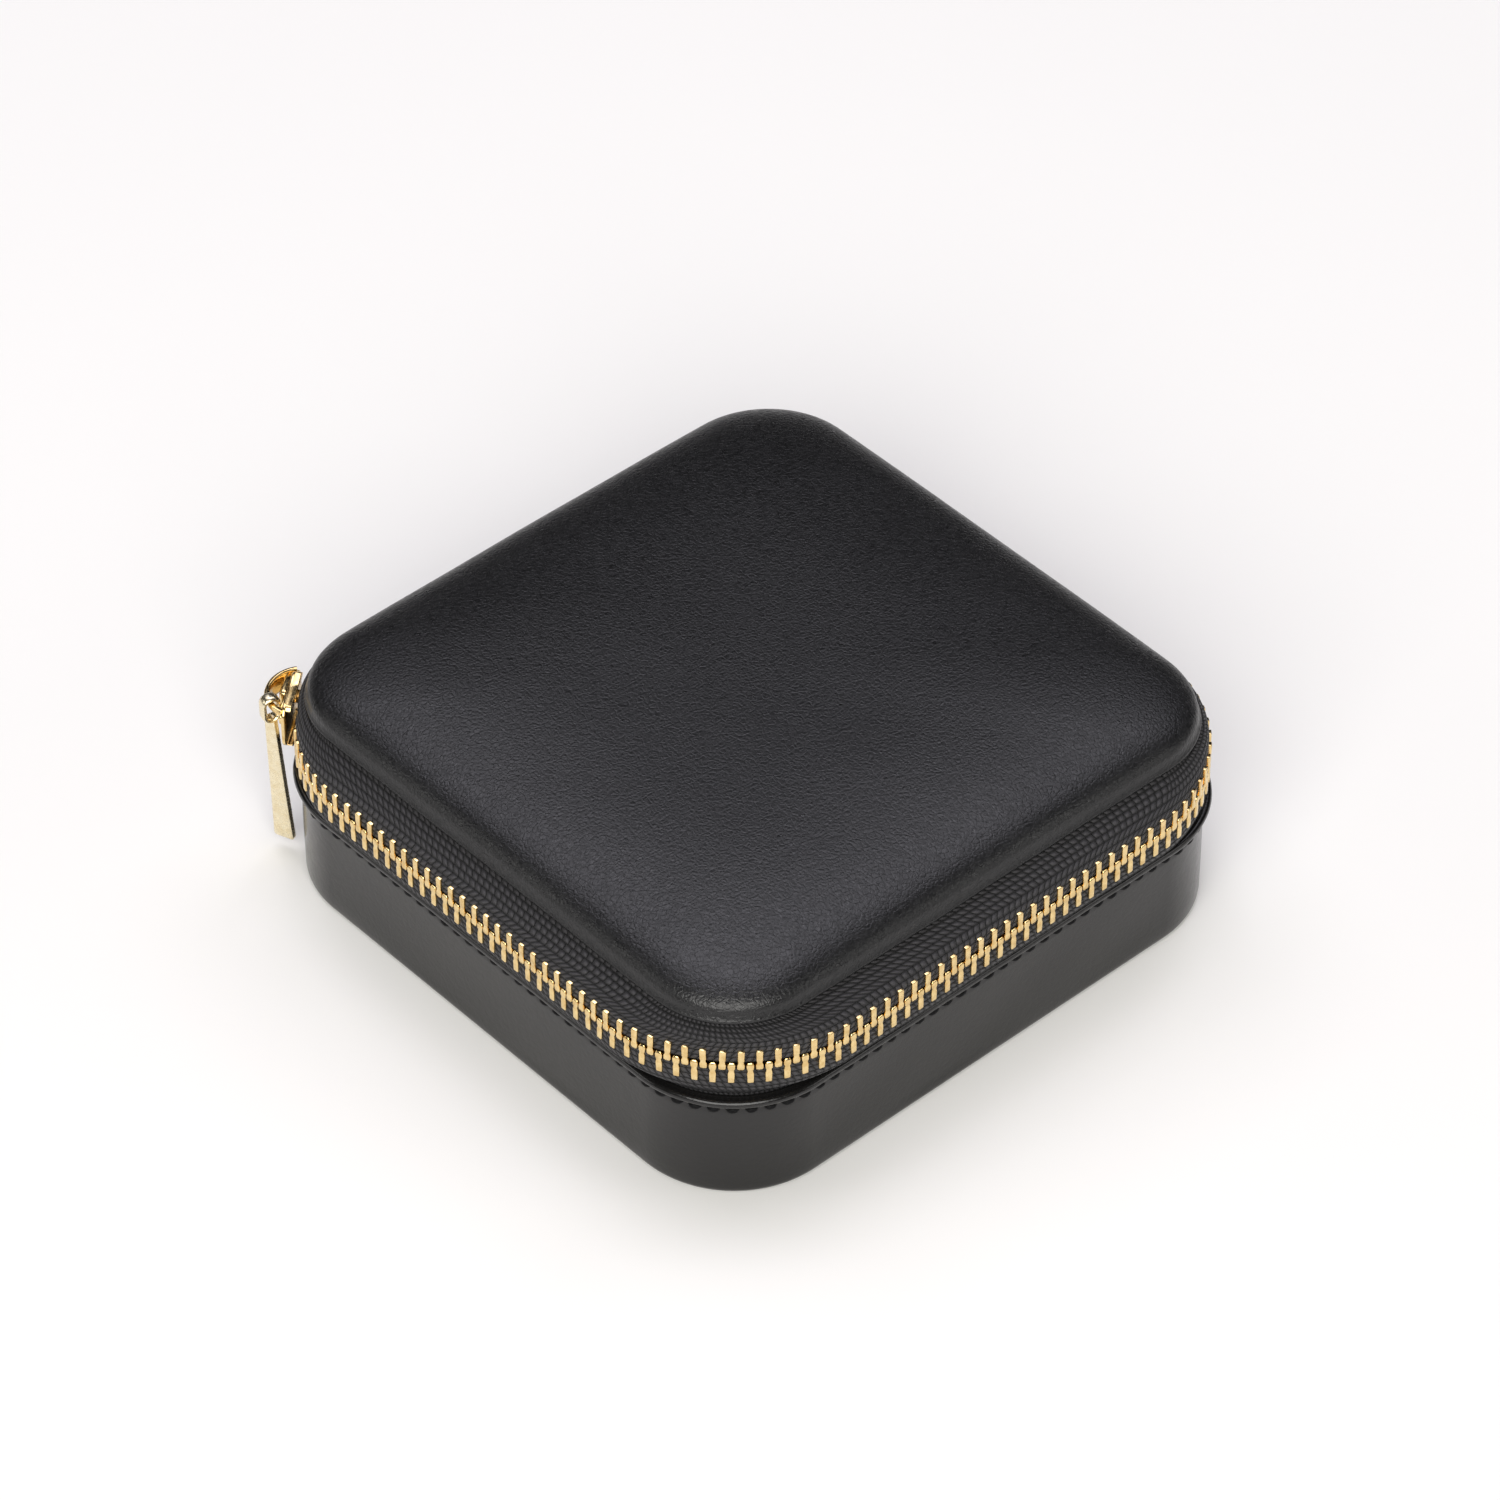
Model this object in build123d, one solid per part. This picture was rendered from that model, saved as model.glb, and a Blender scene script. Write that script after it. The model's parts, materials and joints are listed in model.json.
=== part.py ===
from build123d import *
import math
import os

# A square zipped jewellery case: a stiff leather tray, a padded leather lid, a leather spine
# between them at the back, and a metal zip round the other three sides.
# Millimetres. The origin is the centre of the underside, +Z is up, -Y is the front,
# and the spine is on the +Y side.

# Driving dimensions
BASE_HALF = 52.5          # half of the tray's width, outside the leather wall
BASE_CORNER = 17.3        # corner radius of the leather wall
RIM_TOP = 19.8            # top of the rolled rim
LEATHER = 1.0             # wall leather
ZIP_Z = 26.5              # centre line of the closed zip
ZIP_HALF = 54.7           # half width of the zip's course
ZIP_CORNER = 25.0         # radius of the zip's course at the corners
LID_HALF = 50.7           # half of the lid's width
LID_CORNER = 14.8         # corner radius of the lid
LID_EDGE = 33.0           # lower edge of the lid's leather
TOP = 41.2                # crown of the padded lid
PITCH = 2.6               # spacing of the teeth in one row

# Thicknesses and small gaps
BOARD = 1.6
TAPE = 0.6
CLOTH = 0.8
COLLAR = 1.3
TURN_IN = 1.0             # width hidden under the tray where the wall leather turns in
PART_GAP = 0.3            # between the lid's pieces and the tray's, where they meet

# Heights inside the tray and the lid
FLOOR_TOP = 2.5
WALL_ROUND = 1.4          # the wall leather's rounded lower edge
LINING_TOP = 3.3
REBATE_Z = 12.0           # the zip tape is sewn to the wall above this height
WRAP_TOP = 18.4
COLLAR_TOP = 25.6
BOARD_Z = LID_EDGE + 0.8
TAPE_SEAT = LID_EDGE - TAPE
CEILING = TAPE_SEAT - 1.4
LIP = 0.5                 # height of the linings' turned-over edges

# Half widths of the nested walls, from outside in
WRAP_INNER = BASE_HALF - LEATHER
BOARD_OUTER = WRAP_INNER - TAPE
COLLAR_OUTER = 48.7
LINING_OUTER = COLLAR_OUTER - COLLAR
LINING_INNER = LINING_OUTER - CLOTH
INSET = BASE_HALF - BASE_CORNER   # the wall corners' centres are this far from the middle
RIM_OUT = 1.15            # the rolled rim stands this far out from the wall
FLANGE_HALF = 46.0        # the upper tape is sewn in under the lid as far in as this
FLANGE_CORNER = 12.0

# The spine and the course of the zip round it
SPINE_HALF = 31.0
SPINE_INNER = ZIP_HALF - 1.7
SPINE_OUTER = ZIP_HALF - 0.7
SPINE_GAP = 0.3           # each half of the spine stops this far from the zip's centre line

# Teeth, stops and stitches
TOOTH_WIDTH = 1.1
TOOTH_DEPTH = 2.2
TOOTH_FOOT = 3.0          # how far a tooth reaches from the zip's centre line
TOOTH_HEAD = 0.5          # how far a tooth's head passes the centre line
TAPE_EDGE = 0.7           # the tapes stop this far from the centre line
TOOTH_SLOT = TAPE + 0.1
TAPE_BEND = 3.0           # above this, over the teeth, the upper tape leans in towards the lid
BEND_RISE = 1.0           # height of the gentle start of the lean
BEND_IN = 0.8             # how far the tape has leaned in by then
ROW_START = 5.0           # the first lower tooth is this angle past the slider
ROW_MEET = 14.0           # the upper row joins in at this angle past the slider
ROW_END = 412.0
STOP_LENGTH = 2.0
STOP_HEIGHT = 1.9
STOP_DROP = 1.35          # the stops are centred this far below the zip's centre line
TOP_STOP_ANGLE = 109.0
BOTTOM_STOP = (2.6, 1.8, 3.8)
BOTTOM_STOP_ANGLE = 416.0
STITCH_PITCH = 2.75
STITCH_LENGTH = 1.9
STITCH_SIZE = 0.5

# The slider stands on the rear left corner; angles are about that corner's centre
SLIDER_ANGLE = 128.0
SLIDER_PLATE = 0.7
SLIDER_BORE = 1.45
SLIDER_SLOT = 0.75
SLIDER_CHANNEL = 3.2
SLIDER_OPEN = 3.0         # the slider's inner side is open above this height
SLIDER_POST = (2.0, 1.2)  # length and height of the post that parts the two rows
SLIDER_POST_BACK = 3.0
SLIDER_OUTLINE = [(5.0, 2.6), (3.8, 3.9), (-1.0, 4.0), (-3.4, 4.6), (-4.6, 3.2), (-6.0, 2.8)]
NOTCH = (108.0, 142.0)    # the upper tape is cut away between these angles
NOTCH_TOP = 4.75
NOTCH_REACH = 40.0        # from the corner's centre, well past the tape

# The bridge: an arch on the slider's outer plate, deep at the rear, slim where the pull hangs
BRIDGE_RADIUS = 5.7
BRIDGE_BACK = 0.6         # the arch's centre is this far behind the slider's
BRIDGE_BAND = 0.9
BRIDGE_LOW = 0.0
BRIDGE_TOP = 3.6
BRIDGE_SLIM = 1.0

# The pull: an eye round the bridge and a flat bar that widens to its foot
PULL_TURN = 36.0          # where the pull sits on the bridge, from its crown
PULL_TWIST = 36.0         # the bar is turned this much from its eye
PULL_LEAN = 2.5           # the bar leans in this much, towards its foot
PULL_LOW = 2.2            # height of the bar's foot
EYE_WIDTH = 3.1
EYE_BAND = 0.75
EYE_HALF = 0.95
EYE_LOW = -0.3
EYE_HEIGHT = 4.95
BAR_THICK = 1.1
BAR_TOP = 1.8
BAR_FOOT = 3.4
BAR_SINK = 0.3            # the bar starts this far up inside the eye's lower end

# Interior layout
DIVIDER = 2.4
DIVIDER_TOP = 24.0
DIVIDER_X = 4.0
CROSS_DIVIDER_Y = 10.0
ROLL_COUNT = 6
ROLL_TOP = 20.0
ROLL_GAP = 0.5
POCKET_HALF = 43.5
POCKET_FRONT = -4.0
POCKET_LOW = COLLAR_TOP
POCKET_CORNER = 8.0
ELASTIC = (2.4, 1.0)

os.makedirs("parts", exist_ok=True)


def outline(half, corner, z):
    """A rounded square at a height."""
    return Plane.XY.offset(z) * RectangleRounded(2 * half, 2 * half, corner)


def block(half, low, high, corner=None):
    """A rounded square block; its corners share the wall corners' centres unless one is given."""
    radius = half - INSET if corner is None else corner
    return extrude(outline(half, radius, low), high - low)


def stack(sections):
    """A solid through rounded squares given as (half width, corner radius, height)."""
    return loft([outline(*section).face() for section in sections], ruled=True)


def sleeve(sections, thickness):
    """A thin band that follows rounded squares, open at the top and the bottom."""
    grow = thickness / 2
    outer = stack([(half + grow, corner + grow, z) for half, corner, z in sections])
    inner = stack([(half - grow, corner - grow, z) for half, corner, z in sections])
    return outer - inner


def on_course(half, corner, distance):
    """Where a point lies on a rounded square, going left from the middle of the back.

    Local +X points outwards and local +Y along the course.
    """
    straight = 2 * (half - corner)
    side = straight + math.pi / 2 * corner
    number, rest = divmod(distance + straight / 2, side)
    if rest < straight:
        return Rot(0, 0, 90 * number) * Pos(straight / 2 - rest, half) * Rot(0, 0, 90)
    angle = 90 + math.degrees((rest - straight) / corner)
    x = -straight / 2 + corner * math.cos(math.radians(angle))
    y = straight / 2 + corner * math.sin(math.radians(angle))
    return Rot(0, 0, 90 * number) * Pos(x, y) * Rot(0, 0, angle)


def distance_at(half, corner, normal):
    """How far along a rounded square's course its outward direction has turned to an angle."""
    straight = 2 * (half - corner)
    side = straight + math.pi / 2 * corner
    number, past = divmod(normal - 90, 90)
    return straight / 2 + number * side + math.radians(past) * corner


def row(piece, half, corner, start, end, pitch):
    """Copies of a piece at even steps along a course."""
    count = int((end - start) / pitch)
    return [on_course(half, corner, start + (n + 0.5) * pitch) * piece for n in range(count)]


def back_strip(profile):
    """A strip along the back: a profile of (y, z) points, drawn out between the zip's ends."""
    face = make_face(Plane.YZ * Polyline(*profile, close=True))
    return extrude(face, SPINE_HALF, both=True)


def save(node, shape):
    """Write a sub-part as one STEP file; a list is a group of separate solids."""
    pieces = shape if isinstance(shape, list) else [shape]
    solids = [solid for piece in pieces for solid in piece.solids()]
    whole = solids[0] if len(solids) == 1 else Compound(children=solids)
    whole.label = node
    export_step(whole, f"parts/{node}.step")


# The tray

def tray_pieces():
    floor_hole = block(WRAP_INNER - TURN_IN, 0, TURN_IN)
    wall = block(BASE_HALF, 0, WRAP_TOP)
    wall = fillet(wall.edges().group_by(Axis.Z)[0], WALL_ROUND)
    wall = wall - floor_hole - block(WRAP_INNER, TURN_IN, WRAP_TOP)
    save("base_wall_leather", wall)
    save("base_bottom_panel", block(WRAP_INNER - TURN_IN, 0, TURN_IN))

    board = block(WRAP_INNER, TURN_IN, REBATE_Z) + block(BOARD_OUTER, REBATE_Z, WRAP_TOP + 0.9)
    save("base_board", board - block(COLLAR_OUTER, FLOOR_TOP, RIM_TOP))

    rim = block(BASE_HALF + RIM_OUT, WRAP_TOP, RIM_TOP)
    rim = fillet(rim.edges().group_by(Axis.Z)[-1], 0.6)
    save("base_rim", rim - block(WRAP_INNER, WRAP_TOP, RIM_TOP))

    collar = block(COLLAR_OUTER, FLOOR_TOP, COLLAR_TOP) - block(LINING_OUTER, FLOOR_TOP, COLLAR_TOP)
    save("base_collar", collar)

    edge = COLLAR_TOP + LIP
    lining = block(LINING_OUTER, FLOOR_TOP, COLLAR_TOP) + block(COLLAR_OUTER, COLLAR_TOP, edge)
    save("base_lining", lining - block(LINING_INNER, LINING_TOP, edge))


def tray_stitches():
    stitch = Pos(STITCH_SIZE * 0.35, 0, WRAP_TOP - 0.9) * Box(STITCH_SIZE * 0.7, STITCH_LENGTH, STITCH_SIZE)
    around = 8 * INSET + 2 * math.pi * BASE_CORNER
    pitch = around / round(around / STITCH_PITCH)
    save("base_stitching", row(stitch, BASE_HALF, BASE_CORNER, 0, around + pitch / 2, pitch))


def dividers():
    inside = block(LINING_INNER, LINING_TOP, COLLAR_TOP)
    height = DIVIDER_TOP - LINING_TOP
    middle = (DIVIDER_TOP + LINING_TOP) / 2
    long_wall = Pos(DIVIDER_X, 0, middle) * Box(DIVIDER, 2 * LINING_INNER, height)
    save("divider_long", long_wall)
    start = DIVIDER_X + DIVIDER / 2
    width = LINING_INNER - start
    save("divider_cross", Pos(start + width / 2, CROSS_DIVIDER_Y, middle) * Box(width, DIVIDER, height))

    pitch = 2 * LINING_INNER / ROLL_COUNT
    depth = pitch - ROLL_GAP
    left = -LINING_INNER
    length = DIVIDER_X - DIVIDER / 2 - left
    crown = ROLL_TOP - depth / 2
    for number in range(ROLL_COUNT):
        y = LINING_INNER - (number + 0.5) * pitch
        body = Pos(left + length / 2, y, (crown + LINING_TOP) / 2) * Box(length, depth, crown - LINING_TOP)
        top = Pos(left + length / 2, y, crown) * Rot(0, 90, 0) * Cylinder(depth / 2, length)
        save(f"ring_roll_{number + 1}", (body + top) & inside)


# The zip

def notched(tape, first_angle, last_angle, low, high):
    """A zip tape with its edge cut away over part of the rear left corner."""
    centre = ZIP_HALF - ZIP_CORNER
    fan = Cylinder(NOTCH_REACH, high - low, arc_size=last_angle - first_angle, align=None)
    return tape - Pos(-centre, centre, low) * Rot(0, 0, first_angle) * fan


def zip_tapes():
    behind = Pos(0, ZIP_HALF, ZIP_Z) * Box(2 * SPINE_HALF, 30, 60)
    seat = BOARD_OUTER + TAPE / 2
    lower = sleeve(
        [
            (seat, seat - INSET, REBATE_Z),
            (seat, seat - INSET, RIM_TOP + 0.1),
            (ZIP_HALF, ZIP_CORNER, RIM_TOP + 1.8),
            (ZIP_HALF, ZIP_CORNER, ZIP_Z - TAPE_EDGE),
        ],
        TAPE,
    )
    save("zip_tape_lower", lower - behind)

    seam = LID_HALF - 1.0
    upper = sleeve(
        [
            (ZIP_HALF, ZIP_CORNER, ZIP_Z + TAPE_EDGE),
            (ZIP_HALF, ZIP_CORNER, ZIP_Z + TAPE_BEND),
            (ZIP_HALF - BEND_IN, ZIP_CORNER - 2.0, ZIP_Z + TAPE_BEND + BEND_RISE),
            (seam, LID_CORNER - 1.0, TAPE_SEAT),
        ],
        TAPE,
    )
    flange = block(seam + TAPE / 2, TAPE_SEAT, LID_EDGE, LID_CORNER - 0.7)
    upper = upper + flange - block(FLANGE_HALF, TAPE_SEAT, LID_EDGE, FLANGE_CORNER) - behind
    save("zip_tape_upper", notched(upper, *NOTCH, ZIP_Z, ZIP_Z + NOTCH_TOP))


def tooth(up):
    """One tooth astride its tape's edge, reaching up or down to the centre line."""
    height = TOOTH_FOOT + TOOTH_HEAD
    body = Pos(0, 0, (TOOTH_HEAD - TOOTH_FOOT) / 2) * Box(TOOTH_DEPTH, TOOTH_WIDTH, height)
    body = chamfer(body.edges().filter_by(Axis.Y), 0.35)
    slot = Pos(0, 0, -TOOTH_FOOT) * Box(TOOTH_SLOT, TOOTH_WIDTH, 2 * (TOOTH_FOOT - TAPE_EDGE + 0.05))
    body = body - slot
    if not up:
        body = Rot(180, 0, 0) * body
    return Pos(0, 0, ZIP_Z) * body


def zip_metal():
    start = distance_at(ZIP_HALF, ZIP_CORNER, SLIDER_ANGLE + ROW_START)
    clear = distance_at(ZIP_HALF, ZIP_CORNER, SLIDER_ANGLE + ROW_MEET)
    end = distance_at(ZIP_HALF, ZIP_CORNER, ROW_END)
    skipped = math.ceil((clear - start) / PITCH)
    lower = row(tooth(True), ZIP_HALF, ZIP_CORNER, start, end, PITCH)
    shifted = start + (skipped - 0.5) * PITCH
    upper = row(tooth(False), ZIP_HALF, ZIP_CORNER, shifted, end, PITCH)
    save("zip_teeth_lower", lower)
    save("zip_teeth_upper", upper)

    down = Pos(0, 0, ZIP_Z - STOP_DROP)
    slot = Pos(0, 0, -0.25) * Box(TOOTH_SLOT, STOP_LENGTH, STOP_HEIGHT)
    stop = Box(TOOTH_DEPTH, STOP_LENGTH, STOP_HEIGHT) - slot
    place = on_course(ZIP_HALF, ZIP_CORNER, distance_at(ZIP_HALF, ZIP_CORNER, TOP_STOP_ANGLE))
    save("zip_top_stop", place * down * stop)
    width, length, height = BOTTOM_STOP
    bottom = Box(width, length, height) - Pos(0, 0, -0.7) * Box(TOOTH_SLOT, length, height)
    place = on_course(ZIP_HALF, ZIP_CORNER, distance_at(ZIP_HALF, ZIP_CORNER, BOTTOM_STOP_ANGLE))
    save("zip_bottom_stop", place * down * bottom)


def spine():
    seat = BOARD_OUTER
    lower = [
        (seat, REBATE_Z + 1),
        (WRAP_INNER, REBATE_Z + 1),
        (WRAP_INNER, RIM_TOP),
        (SPINE_OUTER, RIM_TOP + 2.4),
        (SPINE_OUTER, ZIP_Z - SPINE_GAP),
        (SPINE_INNER, ZIP_Z - SPINE_GAP),
        (SPINE_INNER, RIM_TOP + 2.8),
        (seat, RIM_TOP + 0.6),
    ]
    save("hinge_spine_lower", back_strip(lower))
    seam = LID_HALF - 0.7
    upper = [
        (SPINE_INNER, ZIP_Z + SPINE_GAP),
        (SPINE_OUTER, ZIP_Z + SPINE_GAP),
        (SPINE_OUTER, ZIP_Z + 3.2),
        (seam, LID_EDGE),
        (FLANGE_HALF, LID_EDGE),
        (FLANGE_HALF, TAPE_SEAT),
        (seam - 0.6, TAPE_SEAT),
        (SPINE_INNER, ZIP_Z + 2.8),
    ]
    save("hinge_spine_upper", back_strip(upper))


# The lid

def lid_pieces():
    rise = TOP - LID_EDGE
    skin = [
        (1.0, 1.0, 0.0),
        (0.0, 0.0, 0.11 * rise),
        (0.0, 0.0, 0.24 * rise),
        (0.7, 0.5, 0.4 * rise),
        (3.0, 1.5, 0.59 * rise),
        (7.0, 3.0, 0.735 * rise),
        (13.5, 5.0, 0.865 * rise),
        (24.0, 8.0, 0.965 * rise),
        (38.0, 11.5, rise),
    ]
    leather = stack([(LID_HALF - inset, LID_CORNER - corner, LID_EDGE + z) for inset, corner, z in skin])
    board = block(LID_HALF - 1.1, BOARD_Z, BOARD_Z + BOARD, LID_CORNER - 1.1)
    save("lid_board", board)
    start = BOARD_Z + BOARD - LID_EDGE
    bulk = [(LID_HALF - 1.8, LID_CORNER - 1.6, LID_EDGE + start)]
    for inset, corner, z in skin[4:]:
        bulk.append((LID_HALF - inset - 0.9, LID_CORNER - corner - 0.3, LID_EDGE + z - LEATHER))
    foam = stack(bulk)
    save("lid_foam", foam)
    opening = block(FLANGE_HALF, LID_EDGE, BOARD_Z, FLANGE_CORNER)
    save("lid_leather", leather - foam - board - opening)
    save("lid_padding", block(FLANGE_HALF, TAPE_SEAT, BOARD_Z, FLANGE_CORNER))
    save("lid_card", block(LINING_OUTER, CEILING + 0.6, TAPE_SEAT))
    low = COLLAR_TOP + LIP + PART_GAP
    edge = low + LIP
    save("lid_collar", block(COLLAR_OUTER, edge, TAPE_SEAT) - block(LINING_OUTER, edge, TAPE_SEAT))
    lining = block(LINING_OUTER, low, CEILING + 0.6) + block(COLLAR_OUTER, low, edge)
    save("lid_lining", lining - block(LINING_INNER, low, CEILING))


def lid_stitches():
    run = ZIP_HALF - BEND_IN - LID_HALF + 1.0
    slope = math.degrees(math.atan2(run, TAPE_SEAT - ZIP_Z - TAPE_BEND - BEND_RISE))
    half = LID_HALF + 0.05
    corner = LID_CORNER + 0.1
    stitch = Rot(0, -slope, 0) * Pos(STITCH_SIZE * 0.35, 0, 0) * Box(STITCH_SIZE * 0.7, STITCH_LENGTH, STITCH_SIZE)
    stitch = Pos(0, 0, TAPE_SEAT - 0.15) * stitch
    start = distance_at(half, corner, 100)
    end = distance_at(half, corner, 440)
    save("lid_stitching", row(stitch, half, corner, start, end, STITCH_PITCH))


def pocket():
    depth = POCKET_HALF - POCKET_FRONT
    middle = (POCKET_HALF + POCKET_FRONT) / 2
    height = CEILING - POCKET_LOW
    bag = Pos(0, middle, POCKET_LOW + height / 2) * Box(2 * POCKET_HALF, depth, height)
    bag = fillet(bag.edges().filter_by(Axis.Z).group_by(Axis.Y)[-1], POCKET_CORNER)
    hollow = Pos(0, middle - CLOTH, POCKET_LOW + height / 2 + CLOTH) * Box(2 * POCKET_HALF - 2 * CLOTH, depth, height)
    hollow = fillet(hollow.edges().filter_by(Axis.Z).group_by(Axis.Y)[-1], POCKET_CORNER - CLOTH)
    save("lid_pocket", bag - hollow)
    depth, height = ELASTIC
    mouth = Box(2 * POCKET_HALF, depth, height)
    save("pocket_elastic", Pos(0, POCKET_FRONT - depth / 2, POCKET_LOW + height / 2) * mouth)


# The slider and its pull

def at_slider():
    """The slider's own frame: +X outwards, +Y along the zip towards the front, +Z up."""
    centre = ZIP_HALF - ZIP_CORNER
    turn = Rot(0, 0, SLIDER_ANGLE)
    return Pos(-centre, centre, ZIP_Z) * turn * Pos(ZIP_CORNER, 0, 0)


def bridge():
    """The arch that the pull hangs from, standing on the slider's outer plate."""
    height = BRIDGE_TOP - BRIDGE_LOW
    hoop = Cylinder(BRIDGE_RADIUS, height) - Cylinder(BRIDGE_RADIUS - BRIDGE_BAND, height)
    hoop = Pos(0, -BRIDGE_BACK, BRIDGE_LOW + height / 2) * hoop
    plate = SLIDER_BORE + SLIDER_PLATE
    room = Pos(plate + 5, 0, BRIDGE_LOW + height / 2)
    rear = room * Pos(0, -9.9, 0) * Box(10, 20, height)
    slim = Pos(plate + 5, 0, BRIDGE_TOP - BRIDGE_SLIM / 2) * Box(10, 20, BRIDGE_SLIM)
    return hoop & (rear + slim)


def pull():
    """The eye and the bar, with the pull's own frame at the middle of the bridge's slim bar."""
    middle = EYE_LOW + EYE_HEIGHT / 2
    eye = SlotOverall(EYE_HEIGHT, EYE_WIDTH, rotation=90)
    eye = eye - SlotOverall(EYE_HEIGHT - 2 * EYE_BAND, EYE_WIDTH - 2 * EYE_BAND, rotation=90)
    ring = Pos(0, 0, middle) * extrude(Plane.XZ * eye, EYE_HALF, both=True)
    top = EYE_LOW + BAR_SINK
    length = ZIP_Z + top - PULL_LOW
    head = Plane.XY * Rectangle(BAR_THICK, BAR_TOP)
    foot = Plane.XY.offset(-length) * Rectangle(BAR_THICK, BAR_FOOT)
    bar = Rot(0, 0, PULL_TWIST) * loft([head.face(), foot.face()], ruled=True)
    return ring + Pos(0, 0, top) * Rot(0, PULL_LEAN, 0) * bar


def slider_and_pull():
    plate = SLIDER_BORE + SLIDER_PLATE
    points = SLIDER_OUTLINE + [(y, -z) for y, z in reversed(SLIDER_OUTLINE)]
    body = extrude(make_face(Plane.YZ * Polyline(*points, close=True)), plate, both=True)
    channel = Box(2 * SLIDER_BORE, 20, 2 * SLIDER_CHANNEL)
    slot = Box(2 * SLIDER_SLOT, 20, 20)
    # the upper tape leans in, so the inner side is open above the teeth
    lean_room = Pos(SLIDER_SLOT - 5, 0, SLIDER_OPEN + 5) * Box(10, 20, 10)
    post = Pos(0, -SLIDER_POST_BACK, 0) * Box(2 * SLIDER_BORE, *SLIDER_POST)
    save("slider_body", at_slider() * (body - channel - slot - lean_room + post))
    save("slider_bridge", at_slider() * bridge())
    reach = BRIDGE_RADIUS - BRIDGE_BAND / 2
    hang = at_slider() * Pos(0, -BRIDGE_BACK, 0) * Rot(0, 0, PULL_TURN) * Pos(reach, 0, 0)
    save("zip_pull", hang * pull())


tray_pieces()
tray_stitches()
dividers()
zip_tapes()
zip_metal()
spine()
lid_pieces()
lid_stitches()
pocket()
slider_and_pull()
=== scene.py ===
import json
import math

import bmesh
import bpy
import numpy as np
from mathutils import Matrix, Vector


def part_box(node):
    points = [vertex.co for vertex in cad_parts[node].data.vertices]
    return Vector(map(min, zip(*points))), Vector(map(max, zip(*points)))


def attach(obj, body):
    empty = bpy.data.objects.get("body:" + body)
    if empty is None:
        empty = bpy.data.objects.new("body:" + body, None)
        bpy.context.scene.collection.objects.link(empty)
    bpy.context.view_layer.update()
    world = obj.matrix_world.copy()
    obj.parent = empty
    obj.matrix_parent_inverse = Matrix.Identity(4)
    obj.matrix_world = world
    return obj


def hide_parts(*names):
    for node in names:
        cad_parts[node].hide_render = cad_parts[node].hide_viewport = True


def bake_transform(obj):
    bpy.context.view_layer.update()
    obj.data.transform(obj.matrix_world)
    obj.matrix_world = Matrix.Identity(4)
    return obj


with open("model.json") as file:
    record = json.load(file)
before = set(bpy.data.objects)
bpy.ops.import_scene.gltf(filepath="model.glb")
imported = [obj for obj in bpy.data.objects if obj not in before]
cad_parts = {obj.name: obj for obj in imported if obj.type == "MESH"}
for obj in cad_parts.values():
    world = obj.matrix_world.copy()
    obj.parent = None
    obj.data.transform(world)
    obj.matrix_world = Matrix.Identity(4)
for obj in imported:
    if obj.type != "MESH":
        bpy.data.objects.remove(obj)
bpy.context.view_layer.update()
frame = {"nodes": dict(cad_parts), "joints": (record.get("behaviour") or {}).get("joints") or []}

MM = 0.001
rng = np.random.default_rng(7)


# ---------------------------------------------------------------- sizes in mm, from the frame where given

def node_box(node):
    """Lowest and highest corner of a CAD node, in millimetres."""
    low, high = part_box(node)
    return [c / MM for c in low], [c / MM for c in high]


WALL_HIGH = node_box("base_wall_leather")[1]
RIM_HIGH = node_box("base_rim")[1]
LID_LOW, LID_HIGH = node_box("lid_leather")
LINING_HIGH = node_box("base_lining")[1]
CEILING_LOW, CEILING_HIGH = node_box("lid_lining")
SPINE_HIGH = node_box("hinge_spine_lower")[1]
POCKET_LOW, POCKET_HIGH = node_box("lid_pocket")

BASE_HALF = WALL_HIGH[0]
BASE_CORNER = 17.3
INSET = BASE_HALF - BASE_CORNER
RIM_TOP = RIM_HIGH[2]
WRAP_TOP = WALL_HIGH[2]
# the padded leather swells a little past its CAD solid
LID_SWELL = 0.2
LID_HALF = LID_HIGH[0] + LID_SWELL
LID_CORNER = 14.8
LID_EDGE = LID_LOW[2]
LID_TOP = LID_HIGH[2]
SPINE_HALF = SPINE_HIGH[0]

hinge = next(j for j in frame["joints"] if j["name"] == "lid_hinge")
ZIP_Z = hinge["pos_m"][2] / MM
ZIP_HALF = hinge["pos_m"][1] / MM - 0.5
ZIP_CORNER = 25.0
PITCH = 2.6
SLIDER_ANGLE = 128.0
NOTCH_START, NOTCH_END, NOTCH_RISE = 110, 142, 4.75
# where the tooth rows start and meet, in degrees past the slider, and where they end
ROW_START, ROW_MEET, ROW_END = 5, 14, 412
STITCH_PITCH = 2.75
STITCH_LENGTH = 2.05
THREAD_RADIUS = 0.5
SEAM_Z = WRAP_TOP - 0.9
COLLAR_OUTER = LINING_HIGH[0]
LINING_OUTER = COLLAR_OUTER - 1.3
LINING_INNER = LINING_OUTER - 0.8
FLOOR_TOP = 3.3
CEILING = CEILING_HIGH[2] - 0.6
TAPE_SEAT = LID_EDGE - 0.6


# ---------------------------------------------------------------- mesh helpers

def link(obj):
    """Puts an object in the scene."""
    bpy.context.scene.collection.objects.link(obj)
    return obj


def mesh_object(name, verts, faces, material):
    """A mesh object from millimetre points."""
    mesh = bpy.data.meshes.new(name)
    mesh.from_pydata([tuple(c * MM for c in v) for v in verts], [], faces)
    mesh.validate()
    mesh.polygons.foreach_set("use_smooth", [True] * len(mesh.polygons))
    mesh.materials.append(material)
    return link(bpy.data.objects.new(name, mesh))


def add_piece(obj, body, slot, *nodes):
    """Ties a finished piece to its body and hides the CAD nodes it stands for; the slot is not used."""
    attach(obj, body)
    if nodes:
        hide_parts(*nodes)
    return obj


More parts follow.
